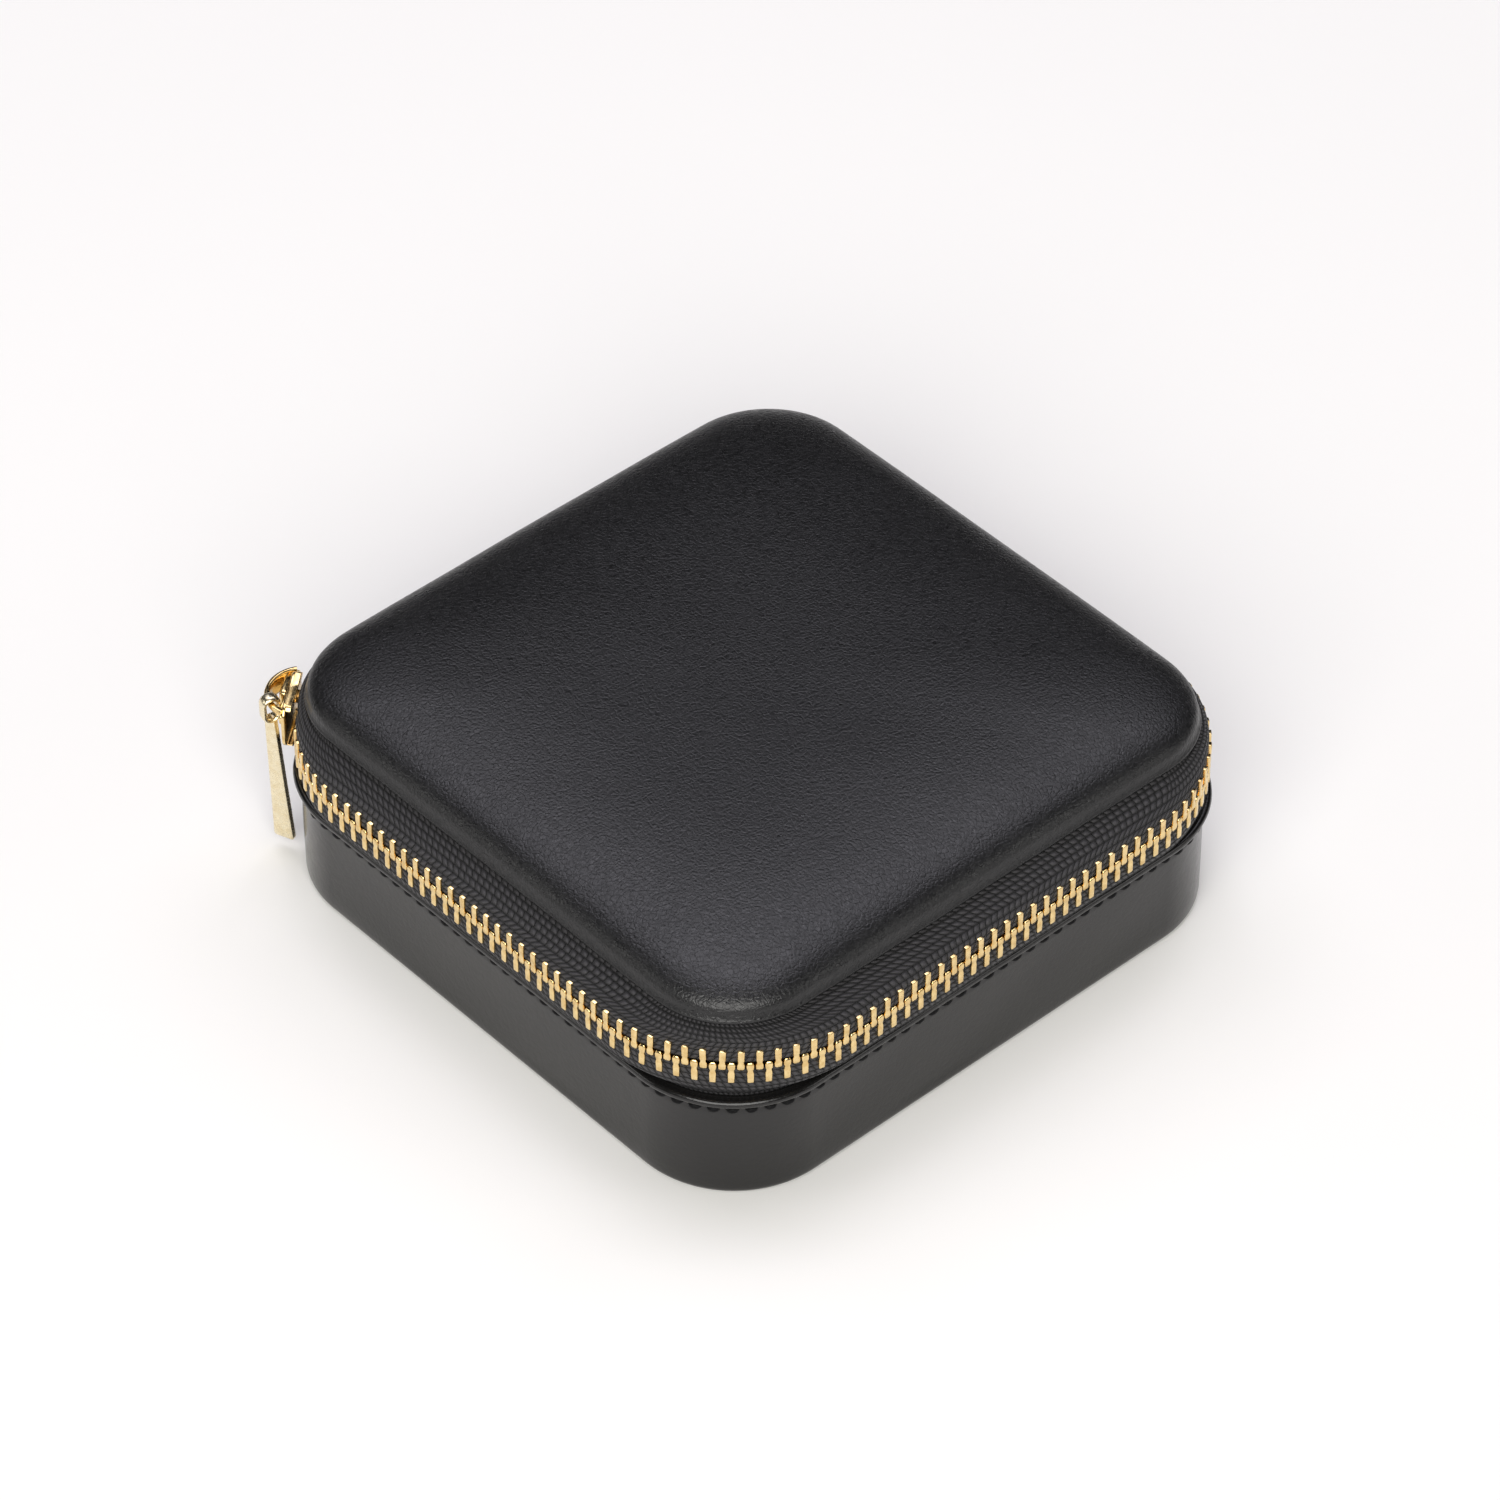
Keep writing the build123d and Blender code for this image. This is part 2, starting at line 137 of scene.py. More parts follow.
def bands(rows, around, closed=False):
    """Faces between neighbouring rings of points; closed joins the last ring to the first."""
    faces = []
    for r in range(rows if closed else rows - 1):
        a, b = r * around, (r + 1) % rows * around
        for k in range(around):
            m = (k + 1) % around
            faces.append((a + k, a + m, b + m, b + k))
    return faces


def capped(rows, around):
    """Bands with a face over each end."""
    last = (rows - 1) * around
    return bands(rows, around) + [tuple(range(around)), tuple(range(last, last + around))]


def grid(rows, columns):
    """Faces over an open grid of points, row by row."""
    faces = []
    for r in range(rows - 1):
        for n in range(columns - 1):
            a = r * columns + n
            faces.append((a, a + 1, a + columns + 1, a + columns))
    return faces


def squared(value, power):
    """A sine or cosine pushed outwards, for sections between round and square."""
    return math.copysign(abs(value) ** power, value)


def course(half, corner, sides, turns):
    """Points round a rounded square from the middle of the back, going left.

    Gives x, y, outward x, outward y and the distance gone, with `sides` steps on each straight
    run and `turns` on each corner.
    """
    straight = half - corner
    quarter = math.pi / 2 * corner
    rows = []
    distance = 0.0
    for side in range(4):
        turn = math.radians(90 * side)
        c, s = math.cos(turn), math.sin(turn)
        for n in range(sides):
            x = straight - 2 * straight * n / sides
            rows.append((c * x - s * half, s * x + c * half, -s, c, distance + 2 * straight * n / sides))
        distance += 2 * straight
        for n in range(turns):
            angle = math.pi / 2 * (1 + n / turns)
            x = -straight + corner * math.cos(angle)
            y = straight + corner * math.sin(angle)
            nx, ny = math.cos(angle), math.sin(angle)
            rows.append((c * x - s * y, s * x + c * y, c * nx - s * ny, s * nx + c * ny,
                         distance + quarter * n / turns))
        distance += quarter
    return np.array(rows)


def on_course(half, corner, distance):
    """A point and its outward angle on a rounded square, measured from the middle of the back."""
    straight = 2 * (half - corner)
    side = straight + math.pi / 2 * corner
    number, rest = divmod(distance + straight / 2, side)
    if rest < straight:
        x, y, angle = straight / 2 - rest, half, math.pi / 2
    else:
        angle = math.pi / 2 + (rest - straight) / corner
        x = -straight / 2 + corner * math.cos(angle)
        y = straight / 2 + corner * math.sin(angle)
    turn = math.pi / 2 * number
    c, s = math.cos(turn), math.sin(turn)
    return c * x - s * y, s * x + c * y, angle + turn


def distance_at(half, corner, normal):
    """How far along a course its outward direction has turned to an angle in degrees."""
    straight = 2 * (half - corner)
    side = straight + math.pi / 2 * corner
    number, past = divmod(normal - 90, 90)
    return straight / 2 + number * side + math.radians(past) * corner


def swept(name, sections, material, sides, turns, closed=False, wobble=None):
    """A skin through rounded squares (half, corner, z); wobble(z, along) pushes it outwards."""
    verts = []
    for half, corner, z in sections:
        for x, y, nx, ny, along in course(half, corner, sides, turns):
            push = wobble(z, along) if wobble else 0.0
            verts.append((x + nx * push, y + ny * push, z))
    faces = bands(len(sections), 4 * (sides + turns), closed)
    return mesh_object(name, verts, faces, material)


def fix_normals(obj):
    """Turns every face outwards."""
    bm = bmesh.new()
    bm.from_mesh(obj.data)
    bmesh.ops.recalc_face_normals(bm, faces=bm.faces)
    bm.to_mesh(obj.data)
    bm.free()
    return obj


def modifier(obj, kind, **values):
    """Adds a modifier with its settings."""
    mod = obj.modifiers.new(kind.title(), kind)
    for key, value in values.items():
        setattr(mod, key, value)
    return mod


# ---------------------------------------------------------------- materials

class Look:
    """A Principled material under construction."""

    def __init__(self, name, color, roughness, metallic=0.0, **sockets):
        self.material = bpy.data.materials.new(name)
        self.material.use_nodes = True
        self.nodes = self.material.node_tree.nodes
        self.links = self.material.node_tree.links
        self.shader = self.nodes["Principled BSDF"]
        self.shader.inputs["Base Color"].default_value = (*color, 1)
        self.shader.inputs["Roughness"].default_value = roughness
        self.shader.inputs["Metallic"].default_value = metallic
        for key, value in sockets.items():
            self.shader.inputs[key.replace("_", " ")].default_value = value
        self.bump = None

    def node(self, kind, **inputs):
        made = self.nodes.new(kind)
        for key, value in inputs.items():
            if isinstance(value, bpy.types.NodeSocket):
                self.links.new(value, made.inputs[key.replace("_", " ")])
            else:
                made.inputs[key.replace("_", " ")].default_value = value
        return made

    def place(self):
        return self.node("ShaderNodeTexCoord").outputs["Object"]

    def noise(self, scale, detail=3.0, rough=0.55):
        made = self.node("ShaderNodeTexNoise", Vector=self.place(), Scale=scale, Detail=detail,
                         Roughness=rough)
        return made.outputs["Fac"]

    def cells(self, scale, feature="F1"):
        made = self.nodes.new("ShaderNodeTexVoronoi")
        made.feature = feature
        self.links.new(self.place(), made.inputs["Vector"])
        made.inputs["Scale"].default_value = scale
        return made.outputs["Distance"]

    def attribute(self, name):
        made = self.nodes.new("ShaderNodeAttribute")
        made.attribute_type = "GEOMETRY"
        made.attribute_name = name
        return made.outputs["Fac"]

    def math(self, operation, first, second=0.0, clamp=False):
        made = self.nodes.new("ShaderNodeMath")
        made.operation = operation
        made.use_clamp = clamp
        for number, value in enumerate((first, second)):
            if isinstance(value, bpy.types.NodeSocket):
                self.links.new(value, made.inputs[number])
            else:
                made.inputs[number].default_value = value
        return made.outputs[0]

    def span(self, value, low, high, to_low, to_high):
        made = self.node("ShaderNodeMapRange", Value=value)
        made.inputs["From Min"].default_value = low
        made.inputs["From Max"].default_value = high
        made.inputs["To Min"].default_value = to_low
        made.inputs["To Max"].default_value = to_high
        return made.outputs["Result"]

    def blend(self, factor, first, second):
        made = self.nodes.new("ShaderNodeMix")
        made.data_type = "RGBA"
        self.links.new(factor, made.inputs[0])
        for number, value in ((6, first), (7, second)):
            if isinstance(value, bpy.types.NodeSocket):
                self.links.new(value, made.inputs[number])
            else:
                made.inputs[number].default_value = (*value, 1)
        return made.outputs[2]

    def raise_by(self, height, strength, distance):
        """Adds a bump on top of the ones before it. The distance is in metres."""
        made = self.node("ShaderNodeBump", Height=height, Strength=strength, Distance=distance)
        if self.bump:
            self.links.new(self.bump, made.inputs["Normal"])
        self.bump = made.outputs["Normal"]
        self.links.new(self.bump, self.shader.inputs["Normal"])

    def feed(self, socket, value):
        self.links.new(value, self.shader.inputs[socket])


def leather(name, dark, light, roughness, grain, depth, gloss_spread=0.08):
    """Black leather: fine pebbles with creases between them, cloudy dye and uneven polish."""
    look = Look(name, dark, roughness)
    cloud = look.noise(45, 4)
    look.feed("Base Color", look.blend(look.span(cloud, 0.35, 0.7, 0, 1), dark, light))
    pebble = look.cells(grain)
    crease = look.cells(grain * 0.55, "DISTANCE_TO_EDGE")
    fine = look.noise(grain * 1.7, 2)
    height = look.math("ADD", look.math("MULTIPLY", pebble, -0.6), look.math("MULTIPLY", fine, 0.5))
    height = look.math("ADD", height, look.math("MULTIPLY", look.math("MINIMUM", crease, 0.12), 2.3))
    look.raise_by(height, 0.55, depth)
    uneven = look.noise(grain * 0.5, 3)
    look.feed("Roughness", look.span(uneven, 0.3, 0.7, roughness - gloss_spread, roughness + gloss_spread))
    return look.material


def brass(name, color, shade, roughness):
    """Plated zip metal with faint brushing and tarnish."""
    look = Look(name, color, roughness, 1.0)
    tarnish = look.noise(900, 4)
    look.feed("Base Color", look.blend(look.span(tarnish, 0.4, 0.75, 0, 1), color, shade))
    look.feed("Roughness", look.span(look.noise(2600, 3), 0.3, 0.7, roughness - 0.05, roughness + 0.09))
    look.raise_by(look.noise(3500, 2), 0.12, 0.00002)
    return look.material


def woven_tape(name):
    """Herringbone tape: slanted floats that lean the other way past the middle row."""
    look = Look(name, (0.02, 0.018, 0.02), 0.62)
    look.shader.inputs["Specular IOR Level"].default_value = 0.24
    look.shader.inputs["Sheen Weight"].default_value = 0.05
    look.shader.inputs["Sheen Roughness"].default_value = 0.5
    row_width, float_length, fold_row, slant, step = 1.0, 1.1, 3.5, 0.3, 0.34
    along, across = look.attribute("along"), look.attribute("across")
    rows = look.math("DIVIDE", across, row_width)
    row = look.math("FLOOR", rows)
    u = look.math("MULTIPLY", look.math("SUBTRACT", look.math("FRACT", rows), 0.5), 2.0)
    from_fold = look.math("SUBTRACT", row, fold_row)
    side = look.math("SIGN", from_fold)
    shift = look.math("ADD", look.math("MULTIPLY", look.math("ABSOLUTE", from_fold), step),
                      look.math("MULTIPLY", look.math("MULTIPLY", u, side), slant))
    v = look.math("FRACT", look.math("ADD", look.math("DIVIDE", along, float_length), shift))
    v = look.math("MULTIPLY", look.math("SUBTRACT", v, 0.5), 2.0)
    round_u = look.math("SUBTRACT", 1.0, look.math("MULTIPLY", u, u))
    round_v = look.math("SUBTRACT", 1.0, look.math("MULTIPLY", v, v))
    float_height = look.math("SQRT", look.math("MULTIPLY", round_u, round_v))
    hair = look.noise(5200, 3)
    mixed = look.math("ADD", float_height, look.math("MULTIPLY", hair, 0.3))
    # painted shade: the yarn colour darkens to near black where the floats dip into the gaps between them
    gap_shade, yarn = (0.0004, 0.0004, 0.0005), (0.052, 0.05, 0.053)
    look.feed("Base Color", look.blend(look.span(mixed, 0.35, 1.15, 0, 1), gap_shade, yarn))
    look.feed("Roughness", look.span(mixed, 0.2, 1.2, 0.75, 0.5))
    look.raise_by(float_height, 1.0, 0.0006)
    look.raise_by(hair, 0.4, 0.00003)
    return look.material


def thread(name, dark, light):
    """Twisted sewing thread."""
    look = Look(name, dark, 0.5)
    look.shader.inputs["Specular IOR Level"].default_value = 0.12
    twist = look.noise(4200, 2)
    look.feed("Base Color", look.blend(look.span(twist, 0.4, 0.65, 0, 1), dark, light))
    look.raise_by(twist, 0.6, 0.00008)
    return look.material


def suede(name, dark, light):
    """Soft lining cloth with a short nap brushed in patches."""
    look = Look(name, dark, 0.92)
    look.shader.inputs["Sheen Weight"].default_value = 0.35
    look.shader.inputs["Sheen Roughness"].default_value = 0.45
    look.shader.inputs["Specular IOR Level"].default_value = 0.25
    brushed = look.noise(160, 5)
    nap = look.noise(3800, 4)
    both = look.math("ADD", look.math("MULTIPLY", brushed, 0.6), look.math("MULTIPLY", nap, 0.4))
    look.feed("Base Color", look.blend(look.span(both, 0.38, 0.62, 0, 1), dark, light))
    look.raise_by(nap, 0.5, 0.0001)
    return look.material


def board_look(name, color, shade):
    """Pressed board or foam: matt and slightly fibrous."""
    look = Look(name, color, 0.85)
    fibre = look.noise(2200, 5)
    look.feed("Base Color", look.blend(fibre, color, shade))
    look.raise_by(fibre, 0.3, 0.00005)
    return look.material


LID_LEATHER = leather("lid_leather", (0.0062, 0.0062, 0.0066), (0.0085, 0.0085, 0.009), 0.35, 2100, 0.00013)
WALL_LEATHER = leather("wall_leather", (0.0065, 0.0062, 0.006), (0.009, 0.0085, 0.0082), 0.22, 1100, 0.00003,
                       gloss_spread=0.04)
SPINE_LEATHER = leather("spine_leather", (0.0115, 0.011, 0.011), (0.016, 0.0155, 0.0155), 0.4, 1400, 0.00008)
TAPE = woven_tape("zip_tape")
THREAD = thread("thread", (0.0012, 0.0012, 0.0014), (0.006, 0.006, 0.0068))
BRASS = brass("brass", (0.86, 0.66, 0.33), (0.66, 0.44, 0.17), 0.17)
PULL_METAL = brass("pull_metal", (0.87, 0.78, 0.56), (0.78, 0.66, 0.42), 0.26)
LINING = suede("lining", (0.045, 0.043, 0.045), (0.085, 0.082, 0.086))
ELASTIC = thread("elastic", (0.02, 0.02, 0.022), (0.06, 0.06, 0.063))
BOARD = board_look("board", (0.05, 0.047, 0.044), (0.03, 0.028, 0.026))
FOAM = board_look("foam", (0.55, 0.53, 0.48), (0.46, 0.44, 0.4))


def dress(node, material):
    """Gives a CAD node that stays visible its material."""
    obj = frame["nodes"][node]
    obj.data.materials.clear()
    obj.data.materials.append(material)


# ---------------------------------------------------------------- the tray's outside

def ripple(z, along):
    """The slight unevenness of hand-stretched leather."""
    return 0.05 * math.sin(along / 13 + z / 5) + 0.035 * math.sin(along / 5.3 - z / 3.1 + 1.7)


def tray_wall():
    """The wall leather: a round foot, a slightly uneven side and a dimple under every stitch."""
    bottom, foot, thick = 1.4, 3.4, 1.0
    sections = [(BASE_HALF - foot, BASE_CORNER - foot, 0.0), (BASE_HALF - bottom, BASE_CORNER - bottom, 0.0)]
    for n in range(1, 7):
        angle = math.radians(15 * n)
        inset = bottom * (1 - math.sin(angle))
        sections.append((BASE_HALF - inset, BASE_CORNER - inset, bottom * (1 - math.cos(angle))))
    for z in np.linspace(2.2, WRAP_TOP - 2.2, 10):
        sections.append((BASE_HALF, BASE_CORNER, float(z)))
    # the stitched line pulls the leather in a little
    for z, inset in ((WRAP_TOP - 1.7, 0.0), (WRAP_TOP - 1.3, 0.08), (SEAM_Z, 0.2), (WRAP_TOP - 0.5, 0.06),
                     (WRAP_TOP, -0.05)):
        sections.append((BASE_HALF - inset, BASE_CORNER - inset, z))
    inner = BASE_HALF - thick
    sections.append((inner, inner - INSET, WRAP_TOP + 0.2))
    sections.append((inner, inner - INSET, thick))
    sections.append((BASE_HALF - foot, BASE_CORNER - foot, thick))

    around = 8 * INSET + 2 * math.pi * BASE_CORNER
    pitch = around / round(around / STITCH_PITCH)
    hole_depth, hole_reach = 0.3, 0.7

    def wobble(z, along):
        if not 2 < z < WRAP_TOP:
            return 0.0
        hole = 0.5 + 0.5 * math.cos(2 * math.pi * along / pitch)
        return ripple(z, along) - hole_depth * hole ** 3 * max(0.0, 1 - abs(z - SEAM_Z) / hole_reach)

    wall = swept("tray_wall", sections, WALL_LEATHER, 150, 60, closed=True, wobble=wobble)
    add_piece(fix_normals(wall), "base", "wall_leather", "base_wall_leather")
    dress("base_bottom_panel", WALL_LEATHER)


def tray_rim():
    """The rolled rim: a round outer roll and a thinner bead inside it."""
    sections = []
    roll, roll_out = 0.68, 0.42
    bead, bead_out = 0.42, -0.42
    z_roll, z_bead = WRAP_TOP + roll, RIM_TOP - bead
    for n in range(15):
        angle = math.radians(-115 + 15 * n)
        out = roll_out + roll * math.cos(angle)
        sections.append((BASE_HALF + out, BASE_CORNER + out, z_roll + roll * math.sin(angle)))
    for n in range(11):
        angle = math.radians(55 + 13 * n)
        out = bead_out + bead * math.cos(angle)
        sections.append((BASE_HALF + out, BASE_CORNER + out, z_bead + bead * math.sin(angle)))
    inner = BASE_HALF - 0.98
    sections.append((inner, inner - INSET, WRAP_TOP + 0.1))

    def wobble(z, along):
        return 0.03 * math.sin(along / 4.1) + 0.02 * math.sin(along / 1.7 + z)

    rim = swept("tray_rim", sections, WALL_LEATHER, 120, 40, closed=True, wobble=wobble)
    add_piece(fix_normals(rim), "base", "wall_leather", "base_rim")


def capsule(length, radius, rings=6, around=8, flat=0.8):
    """A stitch: a thread that dives into the leather at both ends."""
    verts = []
    for n in range(rings + 1):
        t = n / rings
        y = (t - 0.5) * length
        bend = radius * 1.1 * (1 - (2 * t - 1) ** 4) - radius * 0.75
        size = radius * (0.62 + 0.38 * (1 - (2 * t - 1) ** 2))
        for k in range(around):
            a = 2 * math.pi * k / around
            verts.append((bend + size * flat * math.cos(a), y, size * math.sin(a)))
    return verts, capped(rings + 1, around)


def scatter(name, template, places, material):
    """Copies of a small mesh at matrices, joined in one object."""
    verts, faces = [], []
    points, polygons = template
    for matrix in places:
        first = len(verts)
        verts += [tuple(matrix @ Vector(p)) for p in points]
        faces += [tuple(first + i for i in polygon) for polygon in polygons]
    return fix_normals(mesh_object(name, verts, faces, material))


def stitches(name, half, corner, z, slope, body, node, start=0, end=None):
    """A row of stitches, each a little askew, all the way round or between two distances."""
    if end is None:
        end = start + 8 * (half - corner) + 2 * math.pi * corner
    count = round((end - start) / STITCH_PITCH)
    places = []
    for n in range(count):
        x, y, angle = on_course(half, corner, start + (n + 0.5) * (end - start) / count)
        lean = math.radians(5 + rng.normal(0, 2))
        size = 1 + rng.normal(0, 0.05)
        places.append(Matrix.Translation((x, y, z + rng.normal(0, 0.03))) @ Matrix.Rotation(angle, 4, "Z")
                      @ Matrix.Rotation(-slope, 4, "Y") @ Matrix.Rotation(lean, 4, "X")
                      @ Matrix.Diagonal((1, size, 1, 1)))
    obj = scatter(name, capsule(STITCH_LENGTH, THREAD_RADIUS), places, THREAD)
    add_piece(obj, body, "thread", node)


tray_wall()
tray_rim()
stitches("tray_stitches", BASE_HALF, BASE_CORNER, SEAM_Z, 0.0, "base", "base_stitching")


# ---------------------------------------------------------------- the zip's tapes

def smooth_sections(points, steps):
    """A Catmull-Rom run through (half, corner, z) sections."""
    points = [np.array(p, float) for p in points]
    padded = [2 * points[0] - points[1]] + points + [2 * points[-1] - points[-2]]
    result = []
    for n in range(1, len(padded) - 2):
        a, b, c, d = padded[n - 1:n + 3]
        for k in range(steps):
            t = k / steps
            result.append(0.5 * (2 * b + (c - a) * t + (2 * a - 5 * b + 4 * c - d) * t * t
                                 + (3 * b - a - 3 * c + d) * t ** 3))
    result.append(points[-1])
    return result


def tape_sheet(name, sections, keep, thickness=0.6):
    """A tape's middle surface with `along` and `across` in mm, cut away behind, then thickened."""
    verts, along_values, across_values = [], [], []
    sides, turns = 60, 36
    across = 0.0
    for number, (half, corner, z) in enumerate(sections):
        if number:
            across += math.hypot(half - sections[number - 1][0], z - sections[number - 1][2])
        base = course(ZIP_HALF, ZIP_CORNER, sides, turns)
        for (x, y, nx, ny, _), (_, _, _, _, along) in zip(course(half, corner, sides, turns), base):
            wave = 0.05 * math.sin(along / 9.0 + z * 0.4) + 0.04 * math.sin(along / 3.7 + 1.0)
            verts.append((x + nx * wave, y + ny * wave, z))
            along_values.append(along)
            across_values.append(across)
    obj = mesh_object(name, verts, bands(len(sections), 4 * (sides + turns)), TAPE)
    for label, values in (("along", along_values), ("across", across_values)):
        obj.data.attributes.new(label, "FLOAT", "POINT").data.foreach_set("value", values)
    bm = bmesh.new()
    bm.from_mesh(obj.data)
    for side in (-1, 1):
        bmesh.ops.bisect_plane(bm, geom=bm.verts[:] + bm.edges[:] + bm.faces[:], dist=1e-7,
                               plane_co=(side * SPINE_HALF * MM, 0, 0), plane_no=(1, 0, 0))
    doomed = [f for f in bm.faces if not keep(f.calc_center_median() / MM)]
    bmesh.ops.delete(bm, geom=doomed, context="FACES")
    bm.to_mesh(obj.data)
    bm.free()
    modifier(obj, "SOLIDIFY", thickness=thickness * MM, offset=0.0)
    bake_modifiers(obj)
    return fix_normals(obj)


def bake_modifiers(obj):
    """Applies every modifier, keeping the attributes."""
    graph = bpy.context.evaluated_depsgraph_get()
    mesh = bpy.data.meshes.new_from_object(obj.evaluated_get(graph), preserve_all_data_layers=True,
                                           depsgraph=graph)
    obj.modifiers.clear()
    obj.data = mesh
    return obj


def behind(p):
    """Whether a point is where the spine takes the tape's place."""
    return p.y > 0 and abs(p.x) < SPINE_HALF


def at_notch(p):
    """Whether a point is where the slider stands in the upper tape."""
    centre = ZIP_HALF - ZIP_CORNER
    angle = math.degrees(math.atan2(p.y - centre, p.x + centre))
    return NOTCH_START < angle < NOTCH_END and p.z < ZIP_Z + NOTCH_RISE


def tapes():
    """The lower tape, sewn inside the tray, and the upper one, sewn under the lid."""
    seat = 51.2
    lower = smooth_sections([(seat, seat - INSET, 12.0), (seat, seat - INSET, 16.0),
                             (seat, seat - INSET, 19.4), (52.3, 19.0, 20.5), (54.1, 23.4, 21.5),
                             (54.7, 25, 22.6), (54.7, 25, 25.8)], 5)
    obj = tape_sheet("zip_tape_front_lower", lower, lambda p: not behind(p))
    add_piece(obj, "base", "zip_tape", "zip_tape_lower")
    top = TAPE_SEAT + 0.3
    upper = smooth_sections([(54.7, 25, 27.2), (54.7, 25, 28.6), (54.6, 24.7, 29.5), (54.0, 22.8, 30.5),
                             (52.4, 18.6, 31.6), (50.2, 14.6, TAPE_SEAT), (49.2, 13.6, top),
                             (46, 12, top)], 5)
    obj = tape_sheet("zip_tape_front_upper", upper, lambda p: not behind(p) and not at_notch(p))
    add_piece(obj, "lid", "zip_tape", "zip_tape_upper")


# ---------------------------------------------------------------- the zip's metal

def tooth_template():
    """A cast tooth astride its tape, reaching up: bulb feet, waisted neck and a rounded head."""
    profile = [(-3.05, 0.42, 0.9), (-3.01, 0.48, 0.97), (-2.92, 0.51, 1.0), (-1.25, 0.51, 1.0),
               (-1.05, 0.43, 0.94), (-0.62, 0.43, 0.94), (-0.4, 0.57, 1.0), (0.25, 0.57, 1.0),
               (0.55, 0.46, 0.9), (0.7, 0.3, 0.7)]
    around, flatness, outer_share = 20, 0.3, 0.68
    verts = []
    for z, half_width, half_depth in profile:
        for k in range(around):
            a = 2 * math.pi * (k + 0.5) / around
            c, s = math.cos(a), math.sin(a)
            x = half_depth * (outer_share if c > 0 else 1.0) * squared(c, flatness)
            verts.append((x, half_width * squared(s, flatness), z))
    return verts, capped(len(profile), around)


def zip_row(name, up, first, end, body, node):
    """One row of teeth between two distances, each set a little unevenly."""
    places = []
    count = int((end - first) / PITCH)
    for n in range(count):
        x, y, angle = on_course(ZIP_HALF, ZIP_CORNER, first + (n + 0.5) * PITCH)
        tilt = math.radians(rng.normal(0, 1.1))
        matrix = (Matrix.Translation((x, y, ZIP_Z + rng.normal(0, 0.03))) @ Matrix.Rotation(angle, 4, "Z")
                  @ Matrix.Rotation(tilt, 4, "X"))
        if not up:
            matrix = matrix @ Matrix.Rotation(math.pi, 4, "X")
        places.append(matrix)
    obj = scatter(name, tooth_template(), places, BRASS)
    add_piece(sharpen(obj, 35), body, "brass", node)


def zip_rows():
    """Both rows; the upper one starts where the slider has closed them, half a pitch along."""
    start = distance_at(ZIP_HALF, ZIP_CORNER, SLIDER_ANGLE + ROW_START)
    clear = distance_at(ZIP_HALF, ZIP_CORNER, SLIDER_ANGLE + ROW_MEET)
    end = distance_at(ZIP_HALF, ZIP_CORNER, ROW_END)
    skipped = math.ceil((clear - start) / PITCH)
    zip_row("zip_teeth_tray", True, start, end, "base", "zip_teeth_lower")
    zip_row("zip_teeth_lid", False, start + (skipped - 0.5) * PITCH, end, "lid", "zip_teeth_upper")
    for node in ("zip_top_stop", "zip_bottom_stop"):
        dress(node, BRASS)


def slider_matrix():
    """The slider's own frame: +X outwards, +Y along the zip towards the front, +Z up."""
    centre = ZIP_HALF - ZIP_CORNER
    return (Matrix.Translation((-centre, centre, ZIP_Z)) @ Matrix.Rotation(math.radians(SLIDER_ANGLE), 4, "Z")
            @ Matrix.Translation((ZIP_CORNER, 0, 0)))


def prism(name, outline, low, high, matrix, material, bevel):
    """A plate: an outline in local Y and Z drawn out along X, with rounded edges."""
    verts = [(x, y, z) for x in (low, high) for y, z in outline]
    n = len(outline)
    faces = [tuple(range(n)), tuple(range(n, 2 * n))]
    faces += [(k, (k + 1) % n, n + (k + 1) % n, n + k) for k in range(n)]
    verts = [tuple(matrix @ Vector(v)) for v in verts]
    obj = fix_normals(mesh_object(name, verts, faces, material))
    modifier(obj, "BEVEL", width=bevel * MM, segments=3, limit_method="ANGLE", harden_normals=False)
    return bake_modifiers(obj)


def join(objects, name):
    """Several meshes as one object."""
    bm = bmesh.new()
    for obj in objects:
        bm.from_mesh(obj.data)
    mesh = bpy.data.meshes.new(name)
    bm.to_mesh(mesh)
    bm.free()
    mesh.materials.append(objects[0].data.materials[0])
    mesh.polygons.foreach_set("use_smooth", [True] * len(mesh.polygons))
    for obj in objects:
        bpy.data.objects.remove(obj)
    return link(bpy.data.objects.new(name, mesh))


def sharpen(obj, angle=40):
    """Keeps edges crisp where the surface turns sharply."""
    obj.data.set_sharp_from_angle(angle=math.radians(angle))
    return obj


def rounded(outline, radius, steps=5):
    """An outline with its corners rounded."""
    result = []
    n = len(outline)
    for k in range(n):
        before, here, after = (np.array(outline[(k + d) % n], float) for d in (-1, 0, 1))
        first = here + (before - here) * min(0.45, radius / np.linalg.norm(before - here))
        last = here + (after - here) * min(0.45, radius / np.linalg.norm(after - here))
        for s in range(steps + 1):
            t = s / steps
            result.append(tuple((1 - t) ** 2 * first + 2 * t * (1 - t) * here + t * t * last))
    return result


